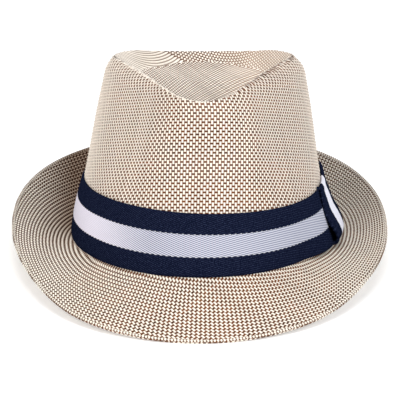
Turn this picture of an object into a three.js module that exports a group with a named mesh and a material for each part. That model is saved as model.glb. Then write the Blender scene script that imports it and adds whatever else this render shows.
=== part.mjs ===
// A straw fedora: a woven straw crown with a pinched front and a long dent in its top, a woven straw
// brim that droops in front and turns up behind, a striped ribbon band, and a bow of the same ribbon
// that stands upright over the band on the wearer's left.
//
// Lengths are in millimetres and angles in degrees. The hat is shaped with the crown's foot level at
// height 0, the front toward -Y and the wearer's left toward +X, and is then tilted back to the pose in
// which it rests on a table: on the front edge of its brim and on the foot of the crown behind.

import * as THREE from 'three';

// ---- Driving dimensions ----

const STRAW_THICKNESS = 1.5;
const RIBBON_THICKNESS = 1.0;
const JOINT_GAP = 0.3;            // left between pieces that touch on the real hat
const COLLAR_HEIGHT = 4.5;        // the brim's upright collar, which the crown stands on under the band
const REST_TILT = 6.37;           // the hat leans back by this much when it rests on a table
const COLUMNS = 66;               // upright sections round the hat

const CROWN_CENTRE_HEIGHT = 92.5; // middle of the dent in the top
const MID_HEIGHT = 74;            // height of the crown's middle ring
const BAND_RING_HEIGHT = 38;      // height of the ring at the band's upper edge

// Upright sections of the crown, by angle from the front centre. Both halves share them. Each ring's
// radius is measured from the crown's axis: the foot, the band's upper edge, the middle of the wall, the
// shoulder, the ridge round the dent, and the edge of the dent's floor.
const CROWN_COLUMNS = ['angle', 'foot', 'band', 'mid', 'shoulder', 'shoulderHeight',
  'ridge', 'ridgeHeight', 'floor', 'floorHeight'];
const CROWN_SECTIONS = [
  [0, 101.2, 95.0, 88.2, 84.2, 95.0, 81.0, 100.5, 67.0, 89.5],
  [9, 100.5, 94.0, 88.4, 82.0, 95.5, 77.0, 101.6, 63.0, 89.5],
  [20, 97.6, 91.0, 84.5, 71.5, 97.0, 64.2, 103.6, 51.0, 90.0],
  [34, 91.9, 85.3, 73.5, 60.8, 98.8, 53.4, 105.4, 41.0, 91.0],
  [50, 85.2, 78.3, 67.0, 56.3, 100.0, 48.0, 107.0, 36.0, 92.5],
  [70, 79.5, 72.0, 64.2, 57.0, 100.4, 47.4, 109.0, 35.0, 94.0],
  [90, 77.5, 70.0, 64.1, 59.8, 100.0, 50.5, 110.9, 37.0, 95.5],
  [115, 80.3, 73.0, 68.5, 62.0, 97.0, 45.0, 108.0, 38.5, 96.3],
  [140, 89.5, 82.5, 76.5, 67.0, 92.5, 45.5, 103.0, 38.5, 95.2],
  [160, 97.3, 91.2, 84.0, 71.5, 89.0, 50.5, 101.0, 44.5, 94.5],
  [180, 100.0, 94.5, 86.5, 73.5, 88.0, 56.0, 99.6, 48.5, 94.3],
];
// The crown's rings lean a little toward the wearer's left.
const LEAN = { foot: 0, band: 0.8, mid: 1.3, shoulder: 1.3, ridge: 0.3, floor: 0.3 };
// How far the bend at each ring reaches along the section, on either side.
const BEND = { floor: 7, ridge: 3.6, shoulder: 7, mid: 16, band: 14, foot: 3 };

// Sections of the brim, by angle from the front centre toward the wearer's left: how far its edge lies
// out from the foot and above it, and the slopes at which the section leaves the foot and ends.
const BRIM_COLUMNS = ['angle', 'reach', 'rise', 'startSlope', 'endSlope'];
const BRIM_SECTIONS = [
  [0, 38.0, -26.0, -24, -43],
  [30, 38.8, -20.0, -20, -34],
  [60, 36.2, -4.5, -14, 2],
  [90, 33.5, 9.0, -4, 32],
  [120, 31.7, 21.0, 12, 50],
  [150, 26.5, 29.0, 30, 60],
  [180, 24.0, 31.5, 43, 60],
  [210, 29.0, 29.0, 28, 58],
  [240, 35.6, 21.0, 10, 46],
  [270, 35.4, 9.0, -4, 32],
  [300, 36.9, -4.5, -14, 2],
  [330, 40.4, -20.0, -20, -34],
];
const BRIM_STEPS = 8;
const BEND_STEPS = 4;             // straight pieces that each bend of a section is made of

// Edges of the band above the foot, by angle from the front centre toward the wearer's left.
const BAND_COLUMNS = ['angle', 'bottom', 'top'];
const BAND_EDGES = [
  [0, 1.9, 37.3],
  [50, 1.8, 34.6],
  [90, 2.0, 34.2],
  [130, 2.6, 36.4],
  [180, 3.2, 38.0],
  [230, 2.6, 37.6],
  [270, 2.0, 36.0],
  [330, 1.9, 38.0],
];
const BAND_STEPS = 2;

// The bow: one width of ribbon that goes down over the band and stands away from it below. Each row is
// a height, and how far the ribbon's outer face stands off the crown at its front edge, middle and back.
const BOW_WIDTH = 38;
const BOW_FRONT = -31;            // its front edge, measured round the band from the widest side
const BOW_COLUMNS = ['height', 'front', 'middle', 'back'];
const BOW_PROFILE = [
  [35.6, 0.4, 0.4, 0.4],
  [36.2, 1.5, 1.5, 1.5],
  [34.6, 2.7, 2.7, 2.7],
  [31.0, 2.7, 2.8, 2.9],
  [26.0, 2.9, 3.8, 4.2],
  [20.0, 3.4, 5.1, 5.6],
  [14.5, 5.6, 7.3, 7.7],
  [9.5, 8.6, 9.0, 9.1],
  [6.0, 9.5, 9.4, 9.4],
  [3.4, 8.2, 8.2, 8.2],
  [2.3, 5.2, 5.2, 5.2],
  [2.3, 1.9, 1.9, 1.9],
];
const BOW_COLUMNS_ACROSS = 5;
const BOW_STEPS = 2;              // rows between two rows of the profile

const COLOURS = { straw: 0xc8b494, navy: 0x141a38 };

// ---- Tables read as smooth curves ----

function objects(columns, rows) {
  return rows.map((row) => Object.fromEntries(columns.map((name, i) => [name, row[i]])));
}

/** The rows of one half of the hat, followed by the same rows mirrored for the other half. */
function mirrored(rows) {
  const other = rows.slice(1, -1).reverse().map((row) => ({ ...row, angle: 360 - row.angle }));
  return [...rows, ...other];
}

/** A smooth closed curve through one column of a table whose rows go once round the hat. */
function around(rows, name) {
  const count = rows.length;
  const turn = (i) => Math.floor(i / count) * 360;
  const angle = (i) => rows[((i % count) + count) % count].angle + turn(i);
  const value = (i) => rows[((i % count) + count) % count][name];
  const slope = (i) => (value(i + 1) - value(i - 1)) / (angle(i + 1) - angle(i - 1));
  return (degrees) => {
    const at = ((degrees % 360) + 360) % 360;
    let i = 0;
    while (angle(i + 1) <= at) i += 1;
    const span = angle(i + 1) - angle(i);
    const t = (at - angle(i)) / span;
    const keepStart = 2 * t ** 3 - 3 * t ** 2 + 1;
    const leaveStart = t ** 3 - 2 * t ** 2 + t;
    const reachEnd = t ** 3 - t ** 2;
    return keepStart * value(i) + (1 - keepStart) * value(i + 1)
      + span * (leaveStart * slope(i) + reachEnd * slope(i + 1));
  };
}

const crownRows = mirrored(objects(CROWN_COLUMNS, CROWN_SECTIONS));
const brimRows = objects(BRIM_COLUMNS, BRIM_SECTIONS);
const bandRows = objects(BAND_COLUMNS, BAND_EDGES);
const crownAt = Object.fromEntries(CROWN_COLUMNS.slice(1).map((name) => [name, around(crownRows, name)]));
const brimAt = Object.fromEntries(BRIM_COLUMNS.slice(1).map((name) => [name, around(brimRows, name)]));
const bandAt = Object.fromEntries(BAND_COLUMNS.slice(1).map((name) => [name, around(bandRows, name)]));

const radians = THREE.MathUtils.degToRad;

/** The outward direction in plan at an angle from the front centre. */
function outward(angle) {
  return new THREE.Vector3(Math.sin(radians(angle)), -Math.cos(radians(angle)), 0);
}

/** The point of a crown ring at an angle and height. */
function onRing(ring, angle, height) {
  const point = outward(angle).multiplyScalar(crownAt[ring](angle));
  return point.add(new THREE.Vector3(LEAN[ring], 0, height));
}

// ---- Sections ----

/** A path through corners, each rounded by a parabola that reaches its bend length to either side. */
function roundedPath(corners) {
  const path = [corners[0].point.clone()];
  for (let i = 1; i < corners.length - 1; i += 1) {
    const { point, bend } = corners[i];
    const before = corners[i - 1].point.clone().sub(point);
    const after = corners[i + 1].point.clone().sub(point);
    const reach = Math.min(bend, 0.48 * before.length(), 0.48 * after.length());
    const from = point.clone().addScaledVector(before.normalize(), reach);
    const to = point.clone().addScaledVector(after.normalize(), reach);
    const curve = new THREE.QuadraticBezierCurve3(from, point, to);
    path.push(...curve.getPoints(BEND_STEPS));
  }
  path.push(corners[corners.length - 1].point.clone());
  return path;
}

/** The crown's wall below the band's upper edge, where it runs straight down to the foot. */
function lowerWall(angle, height) {
  const foot = onRing('foot', angle, 0);
  const top = onRing('band', angle, BAND_RING_HEIGHT);
  return foot.lerp(top, height / BAND_RING_HEIGHT);
}

/** Outer section of the crown, from the middle of the dent to just above the brim's collar. */
function crownSection(angle) {
  const heights = { floor: crownAt.floorHeight(angle), ridge: crownAt.ridgeHeight(angle),
    shoulder: crownAt.shoulderHeight(angle), mid: MID_HEIGHT, band: BAND_RING_HEIGHT };
  const rings = Object.keys(heights).map((ring) => (
    { point: onRing(ring, angle, heights[ring]), bend: BEND[ring] }));
  const centre = new THREE.Vector3(0, 0, CROWN_CENTRE_HEIGHT);
  const end = lowerWall(angle, COLLAR_HEIGHT + JOINT_GAP);
  return roundedPath([{ point: centre }, ...rings, { point: end }]);
}

/** Upper section of the brim, from the top of its collar, round the foot and out to its edge. */
function brimSection(angle) {
  const foot = onRing('foot', angle, 0);
  const out = outward(angle);
  const reach = brimAt.reach(angle);
  const rise = brimAt.rise(angle);
  const handle = Math.hypot(reach, rise) / 3;
  const along = (slope) => out.clone().multiplyScalar(Math.cos(radians(slope)))
    .setZ(Math.sin(radians(slope))).multiplyScalar(handle);
  const edge = foot.clone().addScaledVector(out, reach).setZ(rise);
  const first = foot.clone().add(along(brimAt.startSlope(angle)));
  const last = edge.clone().sub(along(brimAt.endSlope(angle)));
  const curve = new THREE.CubicBezierCurve3(foot, first, last, edge);
  const sweep = curve.getPoints(BRIM_STEPS).slice(1);
  const corners = [{ point: lowerWall(angle, COLLAR_HEIGHT) }, { point: foot, bend: BEND.foot },
    { point: sweep[0] }];
  return [...roundedPath(corners), ...sweep.slice(1)];
}

// ---- Shells ----

/** A grid of points: one list of points for each column. */
function grid(columnCount, section) {
  return Array.from({ length: columnCount }, (_, i) => section(i));
}

/** The grid moved along its own normals, toward the side that lies right of each column's path. */
function offset(points, distance, closed) {
  const count = points.length;
  const column = (i) => points[closed ? (i + count) % count : THREE.MathUtils.clamp(i, 0, count - 1)];
  return points.map((path, i) => path.map((point, j) => {
    const along = path[Math.min(j + 1, path.length - 1)].clone().sub(path[Math.max(j - 1, 0)]);
    const across = column(i + 1)[j].clone().sub(column(i - 1)[j]);
    const normal = along.cross(across);
    if (normal.length() < 1e-9) normal.set(0, 0, 1);
    return point.clone().addScaledVector(normal.normalize(), distance);
  }));
}

/**
 * One closed body between an outer and an inner grid. A closed grid goes once round the hat, and its
 * sections may all start at one shared pole; an open grid is a strip, whose four sides are closed.
 */
function shell(outer, inner, { closed, pole = false }) {
  const columns = outer.length;
  const rows = outer[0].length;
  const positions = [];
  const faces = [];
  const start = (side) => side * columns * rows;
  const index = (side, i, j) => start(side) + (pole && j === 0 ? 0 : (i % columns) * rows + j);
  for (const side of [outer, inner]) {
    side.forEach((path) => path.forEach((point) => positions.push(point.x, point.y, point.z)));
  }
  const triangle = (a, b, c) => {
    if (a !== b && b !== c && c !== a) faces.push(a, b, c);
  };
  const quad = (a, b, c, d) => {
    triangle(a, b, c);
    triangle(a, c, d);
  };
  const spans = closed ? columns : columns - 1;
  for (let i = 0; i < spans; i += 1) {
    for (let j = 0; j < rows - 1; j += 1) {
      quad(index(0, i, j), index(0, i, j + 1), index(0, i + 1, j + 1), index(0, i + 1, j));
      quad(index(1, i, j), index(1, i + 1, j), index(1, i + 1, j + 1), index(1, i, j + 1));
    }
    quad(index(0, i, rows - 1), index(1, i, rows - 1), index(1, i + 1, rows - 1), index(0, i + 1, rows - 1));
    if (!pole) quad(index(0, i, 0), index(0, i + 1, 0), index(1, i + 1, 0), index(1, i, 0));
  }
  for (let j = 0; !closed && j < rows - 1; j += 1) {
    const end = columns - 1;
    quad(index(0, 0, j), index(1, 0, j), index(1, 0, j + 1), index(0, 0, j + 1));
    quad(index(0, end, j), index(0, end, j + 1), index(1, end, j + 1), index(1, end, j));
  }
  const geometry = new THREE.BufferGeometry();
  geometry.setAttribute('position', new THREE.Float32BufferAttribute(positions, 3));
  geometry.setIndex(faces);
  const trimmed = geometry.toNonIndexed();
  trimmed.computeVertexNormals();
  return trimmed;
}

function part(name, geometry, colour, roughness) {
  const material = new THREE.MeshStandardMaterial({ color: colour, roughness, metalness: 0 });
  const mesh = new THREE.Mesh(geometry, material);
  mesh.name = name;
  return mesh;
}

const columnAngle = (i) => (360 * i) / COLUMNS;

// ---- Pieces ----

/** The crown: a hollow shell, open below, whose dent is part of the same wall. */
function crown() {
  const outer = grid(COLUMNS, (i) => crownSection(columnAngle(i)));
  const inner = offset(outer, -STRAW_THICKNESS, true);
  return part('crown', shell(outer, inner, { closed: true, pole: true }), COLOURS.straw, 0.85);
}

/** The brim: a ring with an upright collar that the crown stands on. */
function brim() {
  const outer = grid(COLUMNS, (i) => brimSection(columnAngle(i)));
  const inner = offset(outer, -STRAW_THICKNESS, true);
  return part('brim', shell(outer, inner, { closed: true }), COLOURS.straw, 0.85);
}

/** The band: ribbon laid round the foot of the crown. */
function band() {
  const face = (standOff) => grid(COLUMNS, (i) => {
    const angle = columnAngle(i);
    const bottom = bandAt.bottom(angle);
    const top = bandAt.top(angle);
    return Array.from({ length: BAND_STEPS + 1 }, (_, step) => {
      const height = THREE.MathUtils.lerp(top, bottom, step / BAND_STEPS);
      return lowerWall(angle, height).addScaledVector(outward(angle), standOff);
    });
  });
  const outer = face(JOINT_GAP + RIBBON_THICKNESS);
  return part('band', shell(outer, face(JOINT_GAP), { closed: true }), COLOURS.navy, 0.7);
}

/** Angle of the point that lies a given way round the band from its widest side. */
function angleAlongBand(distance) {
  const step = 0.25 * Math.sign(distance);
  let angle = 90;
  let left = Math.abs(distance);
  let here = lowerWall(angle, BAND_RING_HEIGHT / 2);
  while (left > 0) {
    const next = lowerWall(angle + step, BAND_RING_HEIGHT / 2);
    const length = next.distanceTo(here);
    angle += step * Math.min(1, left / length);
    left -= length;
    here = next;
  }
  return angle;
}

/** The bow: a width of ribbon that stands upright over the band. */
function bow() {
  const rows = objects(BOW_COLUMNS, BOW_PROFILE);
  const outer = grid(BOW_COLUMNS_ACROSS + 1, (i) => {
    const across = i / BOW_COLUMNS_ACROSS;
    const angle = angleAlongBand(BOW_FRONT + BOW_WIDTH * across);
    const points = rows.map((row) => {
      const ends = THREE.MathUtils.lerp(row.front, row.back, across);
      const belly = row.middle - (row.front + row.back) / 2;
      const standOff = ends + belly * 4 * across * (1 - across);
      return lowerWall(angle, row.height).addScaledVector(outward(angle), standOff);
    });
    return new THREE.CatmullRomCurve3(points, false, 'centripetal').getPoints(BOW_STEPS * (rows.length - 1));
  });
  const inner = offset(outer, -RIBBON_THICKNESS, false);
  return part('bow', shell(outer, inner, { closed: false }), COLOURS.navy, 0.7);
}

// ---- The hat at rest ----

/** The pieces tilted to their resting pose, on the ground and centred over the origin. */
function restingHat() {
  const hat = new THREE.Group();
  hat.add(crown(), brim(), band(), bow());
  hat.rotation.x = -radians(REST_TILT);
  const box = new THREE.Box3().setFromObject(hat, true);
  const centre = box.getCenter(new THREE.Vector3());
  hat.position.set(-centre.x, -centre.y, -box.min.z);
  const group = new THREE.Group();
  group.add(hat);
  return group;
}

const group = restingHat();

export default group;
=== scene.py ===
import logging
import math
from dataclasses import dataclass, field
from enum import Enum

import bpy
import numpy as np
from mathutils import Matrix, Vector
from numpy.polynomial.polynomial import polyval


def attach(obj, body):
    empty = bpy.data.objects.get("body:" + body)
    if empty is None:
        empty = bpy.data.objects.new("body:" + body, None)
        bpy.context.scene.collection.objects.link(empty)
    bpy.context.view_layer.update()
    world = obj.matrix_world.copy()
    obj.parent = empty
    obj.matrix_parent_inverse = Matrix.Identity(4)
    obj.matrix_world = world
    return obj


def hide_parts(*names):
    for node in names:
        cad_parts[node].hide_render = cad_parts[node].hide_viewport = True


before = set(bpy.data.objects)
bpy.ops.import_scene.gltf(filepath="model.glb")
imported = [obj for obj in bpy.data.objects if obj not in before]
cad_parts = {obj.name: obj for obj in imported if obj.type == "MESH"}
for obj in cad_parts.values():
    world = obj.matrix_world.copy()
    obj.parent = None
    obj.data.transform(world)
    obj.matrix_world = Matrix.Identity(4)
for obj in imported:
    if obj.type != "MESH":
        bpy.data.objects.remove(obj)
log = logging.getLogger("straw_fedora")

Array = np.ndarray
Material = bpy.types.Material
Object = bpy.types.Object
Colour = tuple[float, float, float, float]
Pair = tuple[float, float]
Triple = tuple[float, float, float]

MM = 0.001
WHITE = (1.0, 1.0, 1.0, 1.0)
# Straight pieces in each rounded corner of a section.
BEND_STEPS = 10


# ---- Shapes: tables, sections and grids ----


@dataclass(frozen=True)
class RingTable:
    """Smooth closed curves through the columns of a table whose rows go once round the hat.

    A curve is a cubic between two rows, and its slope at a row is the slope between that row's neighbours.
    """

    names: tuple[str, ...]
    rows: tuple[tuple[float, ...], ...]
    mirrored: bool = False

    def _table(self) -> Array:
        """The rows as an array, with the other half's rows added where the halves are alike."""
        rows = np.array(self.rows)
        if self.mirrored:
            other = rows[-2:0:-1].copy()
            other[:, 0] = 360.0 - other[:, 0]
            rows = np.concatenate([rows, other])
        return rows

    def at(self, name: str, degrees: Array) -> Array:
        """Reads one column at any angles.

        Args:
            name: the column.
            degrees: angles from the front centre toward the wearer's left.

        Returns:
            The column's value at each angle.
        """
        rows = self._table()
        angle, value = rows[:, 0], rows[:, self.names.index(name)]
        before = np.concatenate([[angle[-1] - 360.0], angle[:-1]])
        after = np.concatenate([angle[1:], [angle[0] + 360.0]])
        slope = (np.roll(value, -1) - np.roll(value, 1)) / (after - before)
        here = np.mod(degrees, 360.0)
        i = np.clip(np.searchsorted(angle, here, side="right") - 1, 0, len(angle) - 1)
        j = (i + 1) % len(angle)
        span = after[i] - angle[i]
        t = (here - angle[i]) / span
        keep = 2 * t**3 - 3 * t**2 + 1
        leave = t**3 - 2 * t**2 + t
        reach = t**3 - t**2
        return keep * value[i] + (1 - keep) * value[j] + span * (leave * slope[i] + reach * slope[j])


def outward(degrees: Array) -> Array:
    """The outward directions in plan at angles from the front centre, as an array of (x, y, z)."""
    turn = np.radians(degrees)
    return np.stack([np.sin(turn), -np.cos(turn), np.zeros_like(turn)], axis=-1)


def all_round(steps: int = 720) -> Array:
    """Angles in even steps from the back, by the wearer's right, to the back again."""
    return np.linspace(-180.0, 180.0, steps + 1)


def rounded_paths(corners: Array, bends: tuple[float, ...]) -> Array:
    """Rounds the corners of many paths at once.

    Each inner corner becomes a parabola that leaves and joins its two sides at the bend's length from the
    corner, or at 0.48 of the side where that is shorter.

    Args:
        corners: paths by corners by 3.
        bends: the bend length of each inner corner.

    Returns:
        Paths by points by 3.
    """
    point = corners[:, 1:-1]
    back, on = corners[:, :-2] - point, corners[:, 2:] - point
    back_length = np.linalg.norm(back, axis=2, keepdims=True)
    on_length = np.linalg.norm(on, axis=2, keepdims=True)
    reach = np.minimum(np.array(bends)[None, :, None], 0.48 * np.minimum(back_length, on_length))
    start = point + back / back_length * reach
    end = point + on / on_length * reach
    t = np.linspace(0.0, 1.0, BEND_STEPS + 1)[None, None, :, None]
    curve = (1 - t) ** 2 * start[:, :, None] + 2 * t * (1 - t) * point[:, :, None] + t**2 * end[:, :, None]
    inner = curve.reshape(len(corners), -1, 3)
    return np.concatenate([corners[:, :1], inner, corners[:, -1:]], axis=1)


def smooth_paths(knots: Array, steps: int) -> Array:
    """Smooth curves through the knots of many paths at once.

    Each span is a cubic whose slopes at its knots are those of a centripetal Catmull-Rom curve, in which
    the time between knots is the square root of their distance.

    Args:
        knots: paths by knots by 3.
        steps: points for each span.

    Returns:
        Paths by points by 3.
    """
    first, last = 2 * knots[:, :1] - knots[:, 1:2], 2 * knots[:, -1:] - knots[:, -2:-1]
    p = np.concatenate([first, knots, last], axis=1)
    gap = np.sqrt(np.maximum(np.linalg.norm(np.diff(p, axis=1), axis=2, keepdims=True), 1e-6))
    d0, d1, d2 = gap[:, :-2], gap[:, 1:-1], gap[:, 2:]
    p0, p1, p2, p3 = p[:, :-3], p[:, 1:-2], p[:, 2:-1], p[:, 3:]
    m1 = ((p1 - p0) / d0 - (p2 - p0) / (d0 + d1) + (p2 - p1) / d1) * d1
    m2 = ((p2 - p1) / d1 - (p3 - p1) / (d1 + d2) + (p3 - p2) / d2) * d1
    t = (np.arange(steps) / steps)[None, None, :, None]
    a, b, c, d = (v[:, :, None] for v in (p1, p2, m1, m2))
    curve = ((2 * t**3 - 3 * t**2 + 1) * a + (t**3 - 2 * t**2 + t) * c
             + (3 * t**2 - 2 * t**3) * b + (t**3 - t**2) * d)
    return np.concatenate([curve.reshape(len(knots), -1, 3), knots[:, -1:]], axis=1)


def path_lengths(paths: Array) -> Array:
    """Distance from each path's start to each of its points, measured along the path."""
    steps = np.linalg.norm(np.diff(paths, axis=1), axis=2)
    return np.concatenate([np.zeros((len(paths), 1)), np.cumsum(steps, axis=1)], axis=1)


def measured(paths: Array) -> tuple[Array, Array]:
    """Paths, and the distance along each of them to its points."""
    return paths, path_lengths(paths)


def read_along(places: Array, values: Array, wanted: Array) -> Array:
    """Reads many tables of values at once, between their entries, in straight lines.

    The tables' places are moved apart from each other, so that one sorted search serves them all.

    Args:
        places: tables by entries, rising along each table.
        values: tables by entries by any number of columns.
        wanted: tables by places to read at.

    Returns:
        Tables by wanted places by columns.
    """
    count, entries = places.shape
    wanted = np.clip(wanted, places[:, :1], places[:, -1:])
    apart = (places.max() - places.min() + 1.0) * np.arange(count)[:, None]
    found = np.searchsorted((places + apart).ravel(), (wanted + apart).ravel(), side="right")
    i = found.reshape(wanted.shape) - 1 - entries * np.arange(count)[:, None]
    i = np.clip(i, 0, entries - 2)
    low, high = np.take_along_axis(places, i, 1), np.take_along_axis(places, i + 1, 1)
    t = ((wanted - low) / np.maximum(high - low, 1e-9))[:, :, None]
    first = np.take_along_axis(values, i[:, :, None], 1)
    second = np.take_along_axis(values, i[:, :, None] + 1, 1)
    return first + (second - first) * t


def grid_normals(points: Array, closed: bool = True) -> Array:
    """Unit normals of a grid, from the cross product of its two central differences.

    Args:
        points: columns by rows by 3. The last column of a closed grid repeats the first.
        closed: whether the columns go once round.

    Returns:
        Normals in the grid's own layout, on the side where columns rise to the right of rows that climb.
    """
    if closed:
        ring = points[:-1]
        across = np.roll(ring, -1, axis=0) - np.roll(ring, 1, axis=0)
        across = np.concatenate([across, across[:1]])
    else:
        across = np.gradient(points, axis=0)
    along = np.gradient(points, axis=1)
    normal = np.cross(across, along)
    length = np.linalg.norm(normal, axis=2, keepdims=True)
    flat = np.array([0.0, 0.0, 1.0])
    return np.where(length > 1e-9, normal / np.maximum(length, 1e-9), flat)


def smooth_step(value: Array, low: float, high: float) -> Array:
    """The value's place between low and high, eased at both ends: three t squared less two t cubed."""
    t = np.clip((value - low) / (high - low), 0.0, 1.0)
    return t * t * (3 - 2 * t)


def weave_relief(threads: Array, rise: float, gap: float, sides: Pair = (0.27, 0.40)) -> Array:
    """How far a plain weave of flat-topped threads stands proud, at places counted in threads.

    A lengthwise thread is level over the middle of its width and falls steeply to the gap on either side.
    Its height along it follows a cosine, up where it is on top and a third as far down where it goes under.

    Args:
        threads: any shape by 2: lengthwise and crosswise thread counts, whole at the middle of a thread.
        rise: height of the lengthwise threads' tops, in millimetres.
        gap: depth of the gaps between them, in millimetres.
        sides: where a thread's side starts and ends, in threads from its middle.

    Returns:
        The relief in millimetres.
    """
    a, b = threads[..., 0], threads[..., 1]
    whole = np.floor(a + 0.5)
    top = 1 - smooth_step(np.abs(a - whole), *sides)
    wave = np.cos(np.pi * whole) * np.cos(np.pi * b)
    return top * rise * np.where(wave > 0, wave, wave / 3) - (1 - top) * gap


def beaded_relief(threads: Array, rise: float, sharpness: float = 1.5) -> Array:
    """How far a plain weave stands proud where its mesh doesn't follow its threads.

    The product of two cosines is 1 where a lengthwise thread is on top and -1 where a crosswise one is, and
    a hyperbolic tangent flattens its tops.

    Args:
        threads: any shape by 2: lengthwise and crosswise thread counts, whole at the middle of a thread.
        rise: half the height between the two kinds of crossing, in millimetres.
        sharpness: how square the beads are.

    Returns:
        The relief in millimetres.
    """
    wave = np.cos(np.pi * threads[..., 0]) * np.cos(np.pi * threads[..., 1])
    return rise * np.tanh(sharpness * wave) / math.tanh(sharpness)


def on_bias(rising: Array, falling: Array) -> Array:
    """Thread counts of a cloth that lies on the bias: the sum and the difference of two diagonal counts."""
    return np.stack([rising + falling, rising - falling], axis=-1)


def add_object(name: str, data: bpy.types.ID) -> Object:
    """Makes an object at the origin and puts it into the scene."""
    made = bpy.data.objects.new(name, data)
    bpy.context.scene.collection.objects.link(made)
    return made


@dataclass(frozen=True)
class Placement:
    """Takes the hat from its own level frame to where it rests: tilted back about X, then moved."""

    tilt: float = 6.37
    move: Triple = (0.898, 6.651, 11.69)

    def rest(self, points: Array) -> Array:
        """The points of the level hat as they rest, in metres."""
        turn = -math.radians(self.tilt)
        c, s = math.cos(turn), math.sin(turn)
        x, y, z = points[..., 0], points[..., 1], points[..., 2]
        turned = np.stack([x, c * y - s * z, s * y + c * z], axis=-1)
        return (turned + np.array(self.move)) * MM


@dataclass(frozen=True)
class Skin:
    """A grid of point numbers, and the place of each on the UV map."""

    numbers: Array
    places: Array

    def __getitem__(self, picked: object) -> "Skin":
        """Part of the skin."""
        return Skin(self.numbers[picked], self.places[picked])


@dataclass
class Patchwork:
    """Gathers points and faces, with a place on the UV map at each corner, and makes one mesh of them."""

    placement: Placement
    points: list[Array] = field(default_factory=list)
    corners: list[Array] = field(default_factory=list)
    sizes: list[Array] = field(default_factory=list)
    maps: list[Array] = field(default_factory=list)
    smooth: list[Array] = field(default_factory=list)
    count: int = 0

    def lay(self, points: Array, places: Array, closed: bool = False) -> Skin:
        """Adds a grid of points, without faces.

        Args:
            points: columns by rows by 3.
            places: columns by rows by 2, for the UV map.
            closed: whether the last column repeats the first.

        Returns:
            The grid's skin.
        """
        kept = points[:-1] if closed else points
        numbers = self.count + np.arange(kept[..., 0].size).reshape(kept.shape[:-1])
        self.points.append(kept.reshape(-1, 3))
        self.count += numbers.size
        return Skin(np.concatenate([numbers, numbers[:1]]) if closed else numbers, places)

    def lay_cup(self, points: Array, places: Array) -> Skin:
        """Adds a closed grid whose last row is a single point."""
        ring = self.lay(points[:, :-1], places[:, :-1], closed=True).numbers
        pole = self.lay(points[:1, -1:], places[:1, -1:]).numbers
        return Skin(np.concatenate([ring, np.broadcast_to(pole, (len(ring), 1))], axis=1), places)

    def cover(self, skin: Skin, flipped: bool = False, smooth: bool = True,
              bare: Array | None = None) -> None:
        """Adds the faces of a skin: four-sided, or three-sided where a point is repeated.

        Args:
            skin: the skin to cover.
            flipped: turns the faces to the other side.
            smooth: whether they are shaded smooth.
            bare: numbers of points whose faces show nothing but one lengthwise thread.
        """
        order = [(0, 0), (1, 0), (1, 1), (0, 1)]
        if flipped:
            order.reverse()
        m, n = skin.numbers.shape
        picks = [(slice(i, m - 1 + i), slice(j, n - 1 + j)) for i, j in order]
        faces = np.stack([skin.numbers[p] for p in picks], axis=-1).reshape(-1, 4)
        spots = np.stack([skin.places[p] for p in picks], axis=-2).reshape(-1, 4, 2)
        if bare is not None:
            spots = np.where(np.isin(faces, bare).any(axis=1)[:, None, None], 0.0, spots)
        same = faces == np.roll(faces, -1, axis=1)
        whole, three = ~same.any(axis=1), same.sum(axis=1) == 1
        keep = (np.argmax(same[three], axis=1)[:, None] + np.arange(1, 4)) % 4
        triangles = np.take_along_axis(faces[three], keep, 1)
        triangle_spots = np.take_along_axis(spots[three], keep[..., None], 1)
        for numbers, places in ((faces[whole], spots[whole]), (triangles, triangle_spots)):
            self.corners.append(numbers.reshape(-1))
            self.sizes.append(np.full(len(numbers), numbers.shape[1]))
            self.maps.append(places.reshape(-1, 2))
            self.smooth.append(np.full(len(numbers), smooth))

    def rim(self, fine: Skin, coarse: Skin, flipped: bool = False, smooth: bool = False) -> None:
        """Closes the space between an edge of a skin and the same edge of an equal or coarser one behind it.

        Each fine point is joined to the coarse point that is nearest along the edge.
        """
        last = len(fine.numbers) - 1
        ratio = last // (len(coarse.numbers) - 1)
        backing = coarse[(np.arange(last + 1) + (ratio - 1) // 2) // ratio]
        pairs = Skin(np.stack([fine.numbers, backing.numbers], axis=1),
                     np.stack([fine.places, backing.places], axis=1))
        self.cover(pairs, flipped, smooth)

    def close(self, face: Skin, back: Skin) -> None:
        """Covers a back skin, and closes the first and last rows between it and the face."""
        self.cover(back, flipped=True)
        self.rim(face[:, 0], back[:, 0], flipped=True)
        self.rim(face[:, -1], back[:, -1])

    def make(self, name: str, material: Material) -> Object:
        """Makes the mesh, smooth but for its rims, and its object at the origin."""
        used, corners = np.unique(np.concatenate(self.corners), return_inverse=True)
        sizes = np.concatenate(self.sizes)
        points = self.placement.rest(np.concatenate(self.points)[used])
        starts = np.concatenate([[0], np.cumsum(sizes)[:-1]])
        mesh = bpy.data.meshes.new(name)
        mesh.vertices.add(len(points))
        mesh.vertices.foreach_set("co", points.astype(np.float32).ravel())
        mesh.loops.add(len(corners))
        mesh.loops.foreach_set("vertex_index", corners.astype(np.int32))
        mesh.polygons.add(len(sizes))
        mesh.polygons.foreach_set("loop_start", starts.astype(np.int32))
        mesh.polygons.foreach_set("loop_total", sizes.astype(np.int32))
        mesh.polygons.foreach_set("use_smooth", np.concatenate(self.smooth))
        layer = mesh.uv_layers.new(name="threads")
        layer.data.foreach_set("uv", np.concatenate(self.maps).astype(np.float32).ravel())
        mesh.update(calc_edges=True)
        mesh.validate()
        mesh.materials.append(material)
        return add_object(name, mesh)


# ---- The hat's form ----


RING_LEAN = {"foot": 0.0, "band": 0.8, "mid": 1.8, "shoulder": 2.4, "ridge": 1.3, "floor": 0.6}


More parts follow.
